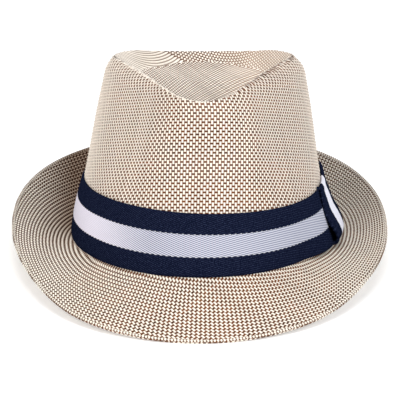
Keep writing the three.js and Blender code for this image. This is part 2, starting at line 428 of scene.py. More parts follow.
@dataclass(frozen=True)
class HatForm:
    """The hat's rings and sections in its own level frame, in millimetres.

    RING_LEAN says how far each ring of the crown stands to the wearer's left of the middle.
    """

    crown: RingTable = RingTable(
        ("angle", "foot", "band", "mid", "shoulder", "shoulder_height", "ridge", "ridge_height",
         "floor", "floor_height"),
        (
            (0, 101.2, 95.0, 88.2, 84.2, 95.0, 81.0, 100.5, 67.0, 89.5),
            (9, 100.5, 94.0, 88.4, 82.0, 95.5, 77.0, 101.6, 63.0, 89.5),
            (20, 97.6, 91.0, 84.5, 71.5, 97.0, 64.2, 103.6, 51.0, 90.0),
            (34, 91.9, 85.3, 73.5, 60.8, 98.8, 53.4, 105.4, 41.0, 91.0),
            (50, 85.2, 78.3, 67.0, 56.3, 100.0, 48.0, 107.0, 36.0, 92.5),
            (70, 79.5, 72.0, 64.2, 56.6, 101.3, 47.6, 108.4, 35.0, 94.0),
            (90, 77.5, 70.0, 63.9, 58.7, 102.3, 52.5, 109.6, 37.0, 95.5),
            (115, 80.3, 73.0, 68.5, 60.6, 98.6, 46.3, 108.4, 38.5, 96.3),
            (140, 89.5, 82.5, 76.5, 67.0, 93.5, 45.5, 104.5, 38.5, 95.2),
            (160, 97.3, 91.2, 84.0, 71.5, 89.5, 50.5, 101.7, 44.5, 94.5),
            (180, 100.0, 94.5, 86.5, 73.5, 88.0, 56.0, 99.7, 48.5, 94.3),
        ),
        mirrored=True,
    )
    brim: RingTable = RingTable(
        ("angle", "reach", "rise", "start_slope", "end_slope"),
        (
            (0, 38.0, -26.0, -24, -43),
            (30, 38.8, -20.0, -20, -34),
            (60, 36.2, -4.5, -14, 2),
            (90, 33.5, 9.0, -4, 32),
            (120, 31.7, 21.0, 12, 50),
            (150, 26.5, 29.0, 30, 60),
            (180, 24.0, 31.5, 43, 60),
            (210, 29.0, 29.0, 28, 58),
            (240, 35.6, 21.0, 10, 46),
            (270, 35.4, 9.0, -4, 32),
            (300, 36.9, -4.5, -14, 2),
            (330, 40.4, -20.0, -20, -34),
        ),
    )
    ribbon: RingTable = RingTable(
        ("angle", "bottom", "top"),
        (
            (0, 1.2, 37.3),
            (50, 1.4, 34.6),
            (90, 2.0, 34.2),
            (130, 2.6, 36.4),
            (180, 3.2, 38.0),
            (230, 2.6, 37.6),
            (270, 2.0, 36.0),
            (330, 1.3, 38.0),
        ),
    )
    centre_height: float = 92.5
    mid_height: float = 74.0
    band_height: float = 38.0
    collar_height: float = 4.5
    joint_gap: float = 0.3
    thickness: float = 1.5
    bends: tuple[float, ...] = (14.0, 16.0, 7.0, 2.0, 2.5)
    foot_bend: float = 3.0
    foot_share: int = 8

    def on_ring(self, ring: str, degrees: Array, height: Array | float) -> Array:
        """Points of a crown ring at angles and heights."""
        points = outward(degrees) * self.crown.at(ring, degrees)[..., None]
        points[..., 0] += RING_LEAN[ring]
        points[..., 2] += height
        return points

    def lower_wall(self, degrees: Array, height: Array | float) -> Array:
        """Points of the crown's wall below the band's upper edge, where it is straight."""
        foot, top = self.on_ring("foot", degrees, 0.0), self.on_ring("band", degrees, self.band_height)
        return foot + (top - foot) * (np.asarray(height) / self.band_height)[..., None]

    def way_round(self, degrees: Array, height: float) -> Array:
        """Distance round the lower wall at one height, from the first angle to each."""
        return path_lengths(self.lower_wall(degrees, np.full_like(degrees, height))[None])[0]

    def crown_paths(self, degrees: Array) -> Array:
        """Outer sections of the crown, from just above the brim's collar up to the middle of the dent."""
        heights = {"band": self.band_height, "mid": self.mid_height}
        heights |= {ring: self.crown.at(ring + "_height", degrees) for ring in ("shoulder", "ridge", "floor")}
        start = self.lower_wall(degrees, np.full_like(degrees, self.collar_height + self.joint_gap))
        rings = [self.on_ring(ring, degrees, height) for ring, height in heights.items()]
        centre = np.broadcast_to(np.array([0.0, 0.0, self.centre_height]), start.shape)
        corners = np.stack([start, *rings, centre], axis=1)
        return rounded_paths(corners, self.bends)

    @staticmethod
    def bend_middle(bends_before: int) -> int:
        """Which point of a crown section is the middle of the bend that comes after so many others."""
        return 1 + bends_before * (BEND_STEPS + 1) + BEND_STEPS // 2

    @property
    def crest(self) -> int:
        """Which point of a crown section is the top of the ridge: the middle of its fourth bend."""
        return self.bend_middle(3)

    @property
    def floor_bend(self) -> int:
        """Which point of a crown section is the foot of the dent's wall: the middle of its fifth bend."""
        return self.bend_middle(4)

    def brim_paths(self, degrees: Array, steps: int = 40) -> Array:
        """Upper sections of the brim, from the top of its collar round the foot to its edge.

        Beyond the foot each is a cubic Bezier curve, whose handles are a third of its span and leave at the
        table's slopes. The bend at the foot is rounded over one share of the curve's steps.
        """
        foot = self.on_ring("foot", degrees, 0.0)
        out = outward(degrees)
        up = np.array([0.0, 0.0, 1.0])
        reach, rise = self.brim.at("reach", degrees), self.brim.at("rise", degrees)
        handle = (np.hypot(reach, rise) / 3)[:, None]

        def leaning(column: str) -> Array:
            """A handle at the slope that a column gives."""
            slope = np.radians(self.brim.at(column, degrees))[:, None]
            return (out * np.cos(slope) + up * np.sin(slope)) * handle

        edge = foot + out * reach[:, None] + up * rise[:, None]
        first, last = foot + leaning("start_slope"), edge - leaning("end_slope")
        t = np.linspace(0.0, 1.0, steps + 1)[None, 1:, None]
        sweep = ((1 - t) ** 3 * foot[:, None] + 3 * t * (1 - t) ** 2 * first[:, None]
                 + 3 * t**2 * (1 - t) * last[:, None] + t**3 * edge[:, None])
        skip = steps // self.foot_share - 1
        top = self.lower_wall(degrees, np.full_like(degrees, self.collar_height))
        corners = np.stack([top, foot, sweep[:, skip]], axis=1)
        return np.concatenate([rounded_paths(corners, (self.foot_bend,))[:, :-1], sweep[:, skip:]], axis=1)


# ---- Shader tools ----


Output = bpy.types.NodeSocket
Outputs = bpy.types.NodeOutputs


class Socket(Enum):
    """The kinds of socket that the node groups use."""

    VALUE = "NodeSocketFloat"
    VECTOR = "NodeSocketVector"


class Blend(Enum):
    """Ways of mixing two colours."""

    MIX = "MIX"
    MULTIPLY = "MULTIPLY"


class Nodes:
    """A short way to add nodes to a tree and join them. What an input takes is a socket or a plain value."""

    def __init__(self, tree: bpy.types.NodeTree) -> None:
        """Works on the given tree."""
        self.tree = tree

    def put(self, target: Output, value: object) -> None:
        """Joins a socket to another, or sets its value."""
        if isinstance(value, Output):
            self.tree.links.new(value, target)
        else:
            target.default_value = value

    def add(self, kind: str, inputs: dict[str | int, object] | None = None, **settings: object) -> Outputs:
        """Adds a shader node, sets its properties and inputs, and returns its outputs."""
        node = self.tree.nodes.new("ShaderNode" + kind)
        for name, value in settings.items():
            setattr(node, name, value)
        for name, value in (inputs or {}).items():
            self.put(node.inputs[name], value)
        return node.outputs

    def math(self, operation: str, *values: object) -> Output:
        """The result of a Math node."""
        return self.add("Math", dict(enumerate(values)), operation=operation)[0]

    def split(self, vector: object) -> Outputs:
        """The X, Y and Z of a vector."""
        return self.add("SeparateXYZ", {0: vector})

    def plus(self, a: object, b: object) -> Output:
        """The sum of two values."""
        return self.math("ADD", a, b)

    def minus(self, a: object, b: object) -> Output:
        """The difference of two values."""
        return self.math("SUBTRACT", a, b)

    def times(self, a: object, b: object) -> Output:
        """The product of two values."""
        return self.math("MULTIPLY", a, b)

    def ramp(self, value: object, low: object, high: object, start: object = 0.0,
             end: object = 1.0) -> Output:
        """A smooth step: the value's place between low and high, taken to between start and end."""
        inputs = {"Value": value, "From Min": low, "From Max": high, "To Min": start, "To Max": end}
        return self.add("MapRange", inputs, interpolation_type="SMOOTHSTEP")["Result"]

    def mix(self, factor: object, a: object, b: object, blend: Blend = Blend.MIX) -> Output:
        """Mixes two colours. A Mix node's colours are its inputs 6 and 7 and its output 2."""
        return self.add("Mix", {0: factor, 6: a, 7: b}, data_type="RGBA", blend_type=blend.value)[2]

    def dim(self, colour: object, light: object) -> Output:
        """A colour times a grey of the given lightness."""
        grey = self.add("CombineColor", {0: light, 1: light, 2: light})[0]
        return self.mix(1.0, colour, grey, Blend.MULTIPLY)

    def noise(self, place: object, scale: float) -> Output:
        """The strength of a noise texture."""
        inputs = {"Vector": place, "Scale": scale, "Detail": 2.0, "Roughness": 0.5}
        return self.add("TexNoise", inputs)["Fac"]

    def chance(self, value: object) -> Output:
        """A fixed chance number between 0 and 1 for each value."""
        return self.add("TexWhiteNoise", {"W": value}, noise_dimensions="1D")["Value"]

    def surface(self, height: Output, bump: Pair, inputs: dict[str, object]) -> None:
        """Ends a material with a principled shader.

        Args:
            height: the height that gives the bump.
            bump: its strength, and its depth in metres.
            inputs: the shader's other inputs.
        """
        strength, depth = bump
        normal = self.add("Bump", {"Height": height, "Strength": strength, "Distance": depth})["Normal"]
        shader = self.add("BsdfPrincipled", inputs | {"Normal": normal})[0]
        self.add("OutputMaterial", {"Surface": shader})


def new_material(name: str) -> tuple[Material, Nodes]:
    """An empty material and its nodes."""
    material = bpy.data.materials.new(name)
    material.use_nodes = True
    material.node_tree.nodes.clear()
    return material, Nodes(material.node_tree)


class Group:
    """A shader node group, built once, with named inputs and outputs."""

    def __init__(self, name: str, inputs: dict[str, tuple[Socket, object]],
                 outputs: dict[str, Socket]) -> None:
        """Makes the group's tree and its sockets."""
        self.tree = bpy.data.node_groups.new(name, "ShaderNodeTree")
        for label, (kind, value) in inputs.items():
            socket = self.tree.interface.new_socket(label, in_out="INPUT", socket_type=kind.value)
            if value is not None:
                socket.default_value = value
        for label, kind in outputs.items():
            self.tree.interface.new_socket(label, in_out="OUTPUT", socket_type=kind.value)
        self.nodes = Nodes(self.tree)
        self.inside = self.tree.nodes.new("NodeGroupInput").outputs
        self.outside = self.tree.nodes.new("NodeGroupOutput").inputs

    def place(self, nodes: Nodes, inputs: dict[str, object]) -> Outputs:
        """Adds the group to a material, and returns its outputs."""
        return nodes.add("Group", inputs, node_tree=self.tree)


# Where the crosswise threads' chance numbers start, and how a crossing's is mixed from its two counts.
CROSS_START, LONG_MIX, CROSS_MIX = 500.5, 0.731, 7.37


def plain_weave_group() -> Group:
    """A plain weave over thread counts: masks of the crosswise threads and the gaps, height, and chances.

    A crossing is the nearest whole pair of counts. Where the pair's sum is odd the crosswise thread is on
    top, and elsewhere it shows only past the sides of the lengthwise one. The height is the product of two
    cosines. Each thread and each crossing has a chance number of its own.
    """
    labels = ("Cross", "Gap", "Height", "Long chance", "Cross chance", "Crossing chance")
    group = Group("plain_weave", {
        "Threads": (Socket.VECTOR, None),
        "Long width": (Socket.VALUE, 0.38),
        "Cross width": (Socket.VALUE, 0.27),
        "Softness": (Socket.VALUE, 0.08),
    }, dict.fromkeys(labels, Socket.VALUE))
    n, at = group.nodes, group.inside
    split = n.split(at["Threads"])
    a, b = split["X"], split["Y"]
    i, j = (n.math("FLOOR", n.plus(count, 0.5)) for count in (a, b))
    odd = n.math("ABSOLUTE", n.math("MODULO", n.plus(i, j), 2.0))

    def inside(count: Output, middle: Output, width: Output) -> Output:
        """1 within a half width of a thread's middle, with a soft edge."""
        offset = n.math("ABSOLUTE", n.minus(count, middle))
        return n.ramp(offset, n.minus(width, at["Softness"]), n.plus(width, at["Softness"]), 1.0, 0.0)

    on_cross = inside(b, j, at["Cross width"])
    beside = n.minus(1.0, inside(a, i, at["Long width"]))
    swing_a, swing_b = (n.math("COSINE", n.times(count, math.pi)) for count in (a, b))
    results = (
        n.times(on_cross, n.math("MAXIMUM", odd, beside)),
        n.times(beside, n.minus(1.0, on_cross)),
        n.times(swing_a, swing_b),
        n.chance(i),
        n.chance(n.plus(j, CROSS_START)),
        n.chance(n.plus(n.times(i, LONG_MIX), n.times(j, CROSS_MIX))),
    )
    for label, result in zip(labels, results):
        n.put(group.outside[label], result)
    return group


@dataclass(frozen=True)
class StrawFinish:
    """Woven paper straw: cream threads one way and brown ones the other.

    A span gives the two places, in metres across the hat or from front to back, between which an effect
    grows. A spread gives a thread's least lightness and what chance adds to it. The bump is a strength and
    a depth in metres, and the roughness goes from fibre noise between two values to two others.
    """

    cream: Colour = (0.90, 0.81, 0.71, 1.0)
    brown: Colour = (0.105, 0.033, 0.008, 1.0)
    # The gap colour is partly the darker straw beneath the holes of the weave and partly painted shade in
    # them.
    gap: Colour = (0.13, 0.055, 0.022, 1.0)
    tan: Colour = (0.50, 0.30, 0.19, 1.0)
    deep: Colour = (0.050, 0.018, 0.005, 1.0)
    # This pale cream is painted light, mixed into the brim's cream toward its far sides.
    painted_light_cream: Colour = (1.0, 0.95, 0.86, 1.0)
    # This tint is painted shade, laid over the brim where the crown shades it.
    shade_tint: Colour = (0.30, 0.22, 0.17, 1.0)
    cream_spread: Pair = (0.90, 0.14)
    brown_spread: Pair = (0.55, 0.95)
    gap_strength: float = 0.75
    drift_scale: float = 60.0
    fibre_scale: float = 2600.0
    fibre_height: float = 0.25
    bump: Pair = (0.35, 0.0003)
    roughness: tuple[float, ...] = (0.2, 0.8, 0.55, 0.8)
    long_width: float = 0.32
    cross_width: float = 0.32
    opening: float = 0.0
    opening_span: Pair = (0.015, 0.045)
    back_opening: float = 0.0
    back_span: Pair = (0.042, 0.056)
    # How far the brown and gaps darken, and the cream pales with painted light, toward the brim's far sides.
    deepening_and_light: float = 0.0
    deepening_and_light_span: Pair = (0.055, 0.090)
    paling: float = 0.0
    paling_span: Pair = (0.006, 0.032)
    # How strong the painted shade is on the brim's rear on the wearer's right, near the crown.
    shade: float = 0.0
    shade_spans: tuple[Pair, Pair, Pair] = ((-0.106, -0.076), (-0.02, -0.06), (-0.035, 0.030))
    sheen: float = 0.0

    def make(self, name: str, weave: Group) -> Material:
        """Builds the material: the weave's masks mix the colours, and its height and fibres give the bump."""
        material, n = new_material(name)
        place = n.add("TexCoord")["Object"]
        spot = n.split(place)
        fibre = n.noise(place, self.fibre_scale)
        masks = self._lay_weave(n, weave, spot)
        cream, brown, gap = self._thread_colours(n, masks, n.noise(place, self.drift_scale), spot["X"])
        colour = n.mix(masks["Cross"], cream, brown)
        # The holes between threads take the gap colour, partly painted shade.
        colour = n.mix(n.times(masks["Gap"], self.gap_strength), colour, gap)
        if self.shade:
            colour = self._shaded(n, colour, spot)
        n.surface(n.plus(masks["Height"], n.times(fibre, self.fibre_height)), self.bump, {
            "Base Color": colour,
            "Roughness": n.ramp(fibre, *self.roughness),
            "Specular IOR Level": 0.1,
            "Sheen Weight": self.sheen,
            "Sheen Roughness": 0.4,
        })
        return material

    def _lay_weave(self, n: Nodes, weave: Group, spot: Outputs) -> Outputs:
        """Places the weave. Its brown threads show more on the wearer's left and at the back."""
        aside = n.ramp(spot["X"], *self.opening_span, 0.0, self.opening)
        across = n.ramp(spot["Y"], *self.back_span, self.cross_width, self.cross_width + self.back_opening)
        return weave.place(n, {
            "Threads": n.add("UVMap", uv_map="threads")["UV"],
            "Long width": n.minus(self.long_width, aside),
            "Cross width": n.plus(across, aside),
        })

    def _thread_colours(self, n: Nodes, masks: Outputs, drift: Output, across: Output) -> tuple[object, ...]:
        """The colours of the cream threads, the brown ones and the gaps, by chance and by place."""
        least, added = self.cream_spread
        cream = n.dim(self.cream, n.plus(least, n.times(masks["Long chance"], added)))
        chance = n.plus(n.times(masks["Cross chance"], 0.5), n.times(masks["Crossing chance"], 0.5))
        least, added = self.brown_spread
        brown = n.dim(self.brown, n.plus(least, n.times(n.plus(chance, n.minus(drift, 0.5)), added)))
        gap = self.gap
        # Toward the brim's far sides the brown and gaps darken, and the cream turns paler as painted light.
        if self.deepening_and_light:
            wide = n.ramp(n.math("ABSOLUTE", across), *self.deepening_and_light_span, 0.0, self.deepening_and_light)
            brown, gap = n.mix(wide, brown, self.deep), n.mix(wide, gap, self.deep)
            cream = n.mix(wide, cream, self.painted_light_cream)
        if self.paling:
            pale = n.ramp(across, *self.paling_span, 0.0, self.paling)
            brown, gap = n.mix(pale, brown, self.tan), n.mix(pale, gap, self.tan)
        return cream, brown, gap

    def _shaded(self, n: Nodes, colour: Output, spot: Outputs) -> Output:
        """The colour with painted shade on the brim's wearer's right toward the back, where the crown shades
        it, and less at the outer edge.
        """
        outer, inner, behind = self.shade_spans
        near = n.times(n.ramp(spot["X"], *outer), n.ramp(spot["X"], *inner))
        amount = n.times(n.times(near, n.ramp(spot["Y"], *behind)), self.shade)
        return n.mix(amount, colour, n.mix(1.0, colour, self.shade_tint, Blend.MULTIPLY))


@dataclass(frozen=True)
class RibbonFinish:
    """Striped ribbon: navy, a white stripe, and navy, in a fine twill with saw-toothed stripe edges."""

    navy: Colour = (0.0028, 0.0048, 0.0160, 1.0)
    speck: Colour = (0.030, 0.038, 0.080, 1.0)
    white: Colour = (0.60, 0.61, 0.68, 1.0)
    shadow: Colour = (0.16, 0.17, 0.25, 1.0)
    # This lighter, pinker white is a painted highlight toward the ribbon's end on the wearer's right, where
    # the key lamp falls.
    painted_light: Colour = (0.80, 0.76, 0.86, 1.0)
    painted_light_span: Pair = (-0.024, -0.066)
    painted_light_twill: float = 0.7
    stripe: Pair = (12.0, 25.5)
    stripe_softness: float = 0.12
    tooth: float = 3.4
    tooth_depth: float = 0.6
    rib: float = 1.18
    speck_scale: float = 1.4
    speck_height: float = 0.4
    speck_span: Pair = (0.35, 0.70)
    valley_span: Pair = (0.16, 0.34)
    ridge_span: Pair = (0.30, 0.12)
    bump: Pair = (0.3, 0.0002)
    roughness: tuple[float, ...] = (0.3, 0.7, 0.6, 0.75)

    def make(self, name: str) -> Material:
        """Builds the material over a UV map in millimetres: along the ribbon, and up from its lower edge."""
        material, n = new_material(name)
        uv = n.add("UVMap", uv_map="threads")["UV"]
        split = n.split(uv)
        teeth, up = n.math("DIVIDE", split["X"], self.tooth), split["Y"]
        level = n.minus(up, n.times(n.minus(n.math("FRACT", teeth), 0.5), self.tooth_depth))
        lower, upper = (n.ramp(level, edge - self.stripe_softness, edge + self.stripe_softness)
                        for edge in self.stripe)
        slant = n.plus(teeth, n.math("DIVIDE", up, self.rib))
        twill = n.math("ABSOLUTE", n.minus(n.math("FRACT", slant), 0.5))
        speck = n.noise(uv, self.speck_scale)
        across = n.split(n.add("TexCoord")["Object"])["X"]
        # Painted highlight: toward the wearer's right the white turns lighter and pinker, and its twill
        # valleys fade.
        painted_light = n.ramp(across, *self.painted_light_span)
        valley = n.times(n.ramp(twill, *self.valley_span), n.minus(1.0, n.times(painted_light, self.painted_light_twill)))
        white = n.mix(valley, n.mix(painted_light, self.white, self.painted_light), self.shadow)
        lit = n.times(n.ramp(twill, *self.ridge_span), n.ramp(speck, *self.speck_span))
        navy = n.mix(lit, self.navy, self.speck)
        n.surface(n.minus(n.times(speck, self.speck_height), twill), self.bump, {
            "Base Color": n.mix(n.minus(lower, upper), navy, white),
            "Roughness": n.ramp(speck, *self.roughness),
            "Specular IOR Level": 0.0,
        })
        return material


# ---- Pieces ----


@dataclass
class Piece:
    """What every piece of the hat is built from: its form, and where it rests."""

    form: HatForm
    placement: Placement


@dataclass(frozen=True)
class DentCloth:
    """How the weave lies in the dent, as thread counts over places in millimetres.

    Each tuple of coefficients runs from the constant up.
    """

    pitch: float = 0.385
    turn: float = 0.18
    widening: float = 0.0068
    widening_span: Pair = (-12.0, 28.0)
    climb: float = 0.277
    level: float = 112.2
    fall: tuple[float, ...] = (0.0, 0.437, 0.0024, 0.0, 1.6e-6)
    fan: Pair = (0.31, -0.0048)
    fan_right: float = 6.0e-6
    rise: tuple[float, ...] = (5.0, 0.21, -0.003)
    rise_left: float = 8.3e-5
    rise_climb: float = 0.58
    stop_softness: float = 0.25
    stop_span: Pair = (0.0, 8.0)

    def flat(self, plan: Array) -> Array:
        """Thread counts where the weave lies as a flat cloth would, at places measured in the cloth.

        The cloth is turned a little, and pulled wider toward the wearer's left: over a span across it the
        falling lines' density falls evenly, and on either side of the span it stays.
        """
        x, y = plan[..., 0], plan[..., 1]
        near = np.clip(x, *self.widening_span)
        falling = self.pitch * x - self.widening * near * (x - near / 2) - self.turn * y
        return on_bias(self.turn * x + self.pitch * y, falling)

    def fanned(self, points: Array) -> Array:
        """Thread counts on the dent's back wall, where the cloth fans out.

        Both families of lines are polynomials of the way across and of a height that counts the way back a
        little. The falling lines lie level at the wearer's right and steepen toward the left. The rising
        ones come to a stop on the right, which leaves ribs.
        """
        x = points[..., 0]
        right, left = np.maximum(-x, 0.0), np.maximum(x, 0.0)
        above = points[..., 2] + self.climb * points[..., 1] - self.level
        fan = polyval(x, self.fan) + self.fan_right * right**3
        falling = polyval(x, self.fall) - above * fan
        beyond = polyval(x, self.rise) - self.rise_left * left**3 + self.rise_climb * above
        stopped = (beyond + np.sqrt(beyond**2 + self.stop_softness)) / 2
        rising = beyond + (stopped - beyond) * smooth_step(-x, *self.stop_span) - self.rise[0]
        return on_bias(rising, falling)


@dataclass
class Crown(Piece):
    """The crown: woven straw, in a front half, a back half and the dent, which meet along the ridge."""

    columns: int = 334
    column_pitch: float = 1.68
    thread_columns: tuple[float, ...] = (0.10, 0.23, 0.77, 0.90)
    row_pitch: float = 1.74
    row_step: float = 0.5
    row_dip: float = 15.5
    plain_levels: Triple = (0.0, 9.0, 18.0)
    cover: float = 28.0
    top: float = 122.0
    even_columns: float = 12.0
    blend_columns: float = 16.0
    bow: float = 0.0036
    bow_levels: Pair = (63.0, 105.0)
    bow_start: Pair = (8.0, 45.0)
    bow_end: float = 80.0
    fold_rows: float = 0.2
    bare_side: float = 2.0
    rope_side: float = 19.0
    front_columns: int = 84
    rise: float = 0.22
    gap: float = 0.16
    side_relief: float = 0.8
    side_span: Pair = (48.0, 66.0)
    ridge_fade: float = 1.2
    dent_columns: int = 560
    dent_rings: int = 130
    dent_foot: int = 36
    dent_rise: float = 0.16
    wall_rise: float = 0.32
    wall_reach: float = 0.18
    fade_rings: float = 2.0
    rib_span: Pair = (12.0, 28.0)
    rib_fade: float = 0.6
    rib_fade_span: Pair = (33.0, 44.0)
    left_fade: float = 0.9
    left_fade_span: Pair = (0.0, 28.0)
    coarseness: int = 8
    dent_coarseness: int = 4
    cloth: DentCloth = DentCloth()

    def _column_places(self, half_length: Array, level: Array, count: Array) -> Array:
        """Where the columns stand round each level, from the front centre.

        The pitch is even in front, and changes smoothly to the one that shares out the rest of the way
        round: its change follows a smooth step, whose integral is t cubed less half of t to the fourth. At
        mid height the columns bow a little toward the front: they draw back from there by the square of the
        way up or down.

        Args:
            half_length: way round from the front centre to the back, for each level.
            level: height of each level along the wall.
            count: column numbers, negative to the wearer's right.

        Returns:
            Levels by columns.
        """
        def gained(c: Array) -> Array:
            """Integral of the smooth step that blends the two pitches."""
            t = np.clip((c - self.even_columns) / self.blend_columns, 0.0, 1.0)
            past = np.maximum(c - self.even_columns - self.blend_columns, 0.0)
            return self.blend_columns * (t**3 - t**4 / 2) + past

        half = self.columns / 2
        change = (half_length - half * self.column_pitch) / gained(np.array(half))
        size = np.abs(count)
        bowed = smooth_step(size, *self.bow_start) * (1 - smooth_step(size, self.bow_end, half))
        middle, highest = self.bow_levels
        bow = self.bow * (np.minimum(level, highest) - middle) ** 2
        size = size[None, :] + bow[:, None] * bowed[None, :]
        places = self.column_pitch * size + change[:, None] * gained(size)
        return np.sign(count)[None, :] * places

    def _wall(self) -> tuple[Array, Array, Array, Array, Array]:
        """The wall's smooth grid: four columns for each lengthwise thread, two rows for each crosswise one.

        A crosswise thread lies where the wall meets a plane that dips toward the back, so each column is cut
        at even steps of its height across those planes. The first rows are plain rings behind the ribbon.
        Just below the ridge, on the wearer's left, the row count stands still, so the columns show as a rope.

        Returns:
            Points, their normals, thread counts, how far each is below the ridge, and for each place in the
            grid the row whose point stands there, since a row may start late or end early in a column.
        """
        sides, plain = all_round(), len(self.plain_levels)
        levels = np.concatenate([self.plain_levels, np.arange(self.cover, self.top, 1.0)])
        paths, lengths = measured(self.form.crown_paths(sides))
        ridge = lengths[:, self.form.crest]
        wanted = np.minimum(levels[None, :], ridge[:, None])
        rings = read_along(lengths, paths, wanted).transpose(1, 0, 2)
        round_length = path_lengths(rings)
        front = len(sides) // 2
        reached = round_length - round_length[:, front:front + 1]
        half = self.columns // 2
        count = (np.arange(-half, half)[:, None] + np.array(self.thread_columns)).ravel()
        left = self._column_places(reached[:, -1], levels, count)
        right = self._column_places(-reached[:, 0], levels, count)
        places = np.where(count[None, :] > 0, left, right)
        left_over = (ridge[:, None] - wanted).T[..., None]
        found = read_along(reached, np.concatenate([rings, left_over], axis=2), places).transpose(1, 0, 2)
        found = np.concatenate([found, found[:1]])
        count = np.append(count, count[0] + self.columns)
        found = np.concatenate([found, grid_normals(found[..., :3])], axis=2)
        dip = math.radians(self.row_dip)
        climb = (found[..., 2] * math.cos(dip) + found[..., 1] * math.sin(dip)) / self.row_pitch
        climb = np.maximum.accumulate(climb, axis=1)
        fine = np.arange(math.floor(climb[:, plain].min()), climb.max() + self.row_step, self.row_step)
        asked = np.broadcast_to(fine, (len(count), len(fine)))
        body = read_along(climb[:, plain:], found[:, plain:], asked)
        grid = np.concatenate([found[:, :plain + 1], body, found[:, -1:]], axis=1)
        rows = np.concatenate([climb[:, :plain + 1], asked, climb[:, -1:]], axis=1)
        last = grid.shape[1] - 1
        own = np.broadcast_to(np.arange(last + 1), rows.shape)
        late = (own > plain) & (rows <= rows[:, plain:plain + 1])
        stands = np.where(late, plain, np.where(rows >= rows[:, -1:], last, own))
        across = np.broadcast_to(count[:, None] - 0.5, rows.shape)
        fold = np.where(grid[:, -1:, 0] < self.rope_side, np.inf, np.floor(rows[:, -1:] - self.fold_rows))
        threads = np.stack([across, np.minimum(rows, fold)], axis=-1)
        return grid[..., :3], grid[..., 4:], threads, grid[..., 3], stands

    def _dent(self) -> tuple[Array, Array, Array]:
        """The dent's smooth grid, from the ridge past the foot of its wall to the middle.

        A point's place in the flat cloth is its direction from the middle, times its distance from there
        along the surface, which counts for more on the wall.

        Returns:
            Points, the flat cloth's thread counts and the back wall's, each columns by rings.
        """
        degrees = all_round(self.dent_columns)
        paths, lengths = measured(self.form.crown_paths(degrees))
        crest, foot = (lengths[:, at, None] for at in (self.form.crest, self.form.floor_bend))
        down = np.linspace(0.0, 1.0, self.dent_foot + 1)[None, :]
        inward = np.linspace(0.0, 1.0, self.dent_rings - self.dent_foot + 1)[None, 1:]
        middle = lengths[:, -1:]
        wanted = np.concatenate([crest + (foot - crest) * down, foot + (middle - foot) * inward], axis=1)
        points = read_along(lengths, paths, wanted)
        reach = middle - wanted + self.wall_reach * np.maximum(foot - wanted, 0.0)
        plan = outward(degrees)[:, None, :2] * reach[..., None]
        return points, self.cloth.flat(plan), self.cloth.fanned(points)

    def make_wall(self, material: Material) -> list[Object]:
        """Builds the two halves of the wall, which share their side columns."""
        points, normals, threads, below, stands = self._wall()
        relief = weave_relief(threads, self.rise, self.gap)
        relief *= 1 + self.side_relief * smooth_step(np.abs(threads[..., 0]), *self.side_span)
        relief[:, :len(self.plain_levels) + 1] = 0.0
        relief *= np.clip(below / self.ridge_fade, 0.0, 1.0)
        outer = points + normals * relief[..., None]
        inner = points - normals * self.form.thickness
        fine = len(self.thread_columns)
        wrap, reach = fine * self.columns, fine * self.front_columns
        first, last = wrap // 2 - reach, wrap // 2 + reach
        front, back = np.arange(first, last + 1), np.arange(last, first + wrap + 1)
        pieces = []
        for name, picks in (("crown_front", front), ("crown_back", back)):
            turns = np.zeros((len(picks), 1, 2))
            turns[picks >= wrap, 0, 0] = self.columns
            at = picks % wrap
            pieces.append(self._half(name, material, outer[at], inner[at], threads[at] + turns, stands[at]))
        return pieces

    def _half(self, name: str, material: Material, outer: Array, inner: Array,
              threads: Array, stands: Array) -> Object:
        """Builds one half of the wall as a closed shell: a fine skin outside and a plainer one inside."""
        work = Patchwork(self.placement)
        threads = np.take_along_axis(threads, stands[..., None], 1)
        few = slice(None, None, self.coarseness)
        face = Skin(np.take_along_axis(work.lay(outer, threads).numbers, stands, 1), threads)
        back = work.lay(inner[few], threads[few])
        back = Skin(np.take_along_axis(back.numbers, stands[few], 1), back.places)
        work.cover(face, bare=face.numbers[outer[:, -1, 0] < self.bare_side, -1])
        work.close(face, back)
        work.rim(face[0], back[0], flipped=True, smooth=True)
        work.rim(face[-1], back[-1], smooth=True)
        return work.make(name, material)

    def make_dent(self, material: Material) -> Object:
        """Builds the dent as a closed shell, whose rim is the ridge.

        The back wall, between the two widest places, takes its own thread counts. Its relief turns from
        beads to ribs on the wearer's right, and fades out on the left.
        """
        points, threads, fanned = self._dent()
        normals = grid_normals(points)
        foot, turn = self.dent_foot, self.dent_columns // 4
        relief = beaded_relief(threads, self.dent_rise)
        behind = np.r_[0:turn, self.dent_columns - turn + 1:self.dent_columns + 1]
        across, lines = points[behind, :foot, 0], fanned[behind, :foot]
        beads = beaded_relief(lines, self.wall_rise)
        ribs = self.wall_rise * np.cos(np.pi * (lines[..., 0] - lines[..., 1]))
        ribs *= 1 - self.rib_fade * smooth_step(-across, *self.rib_fade_span)
        mixed = beads + (ribs - beads) * smooth_step(-across, *self.rib_span)
        relief[behind, :foot] = mixed * (1 - self.left_fade * smooth_step(across, *self.left_fade_span))
        relief[:, foot] = 0.0
        fade = np.clip(np.arange(points.shape[1]) / self.fade_rings, 0.0, 1.0)
        outer = points + normals * (relief * fade)[..., None]
        outer[:, -1] = points[0, -1]
        work = Patchwork(self.placement)
        face = work.lay_cup(outer, threads)
        work.cover(face[:, foot:])
        for columns, counts in ((np.s_[:turn + 1], fanned), (np.s_[turn:-turn], threads),
                                (np.s_[-turn - 1:], fanned)):
            work.cover(Skin(face.numbers[columns, :foot + 1], counts[columns, :foot + 1]))
        inner = points - normals * self.form.thickness
        inner[:, -1] = points[0, -1] - np.array([0.0, 0.0, self.form.thickness])
        step, last = self.dent_coarseness, points.shape[1] - 1
        few = np.ix_(np.arange(0, len(points), step), np.append(np.arange(0, last, step), last))
        back = work.lay_cup(inner[few], threads[few])
        work.cover(back, flipped=True)
        work.rim(face[:, 0], back[:, 0], flipped=True)
        return work.make("crown_dent", material)


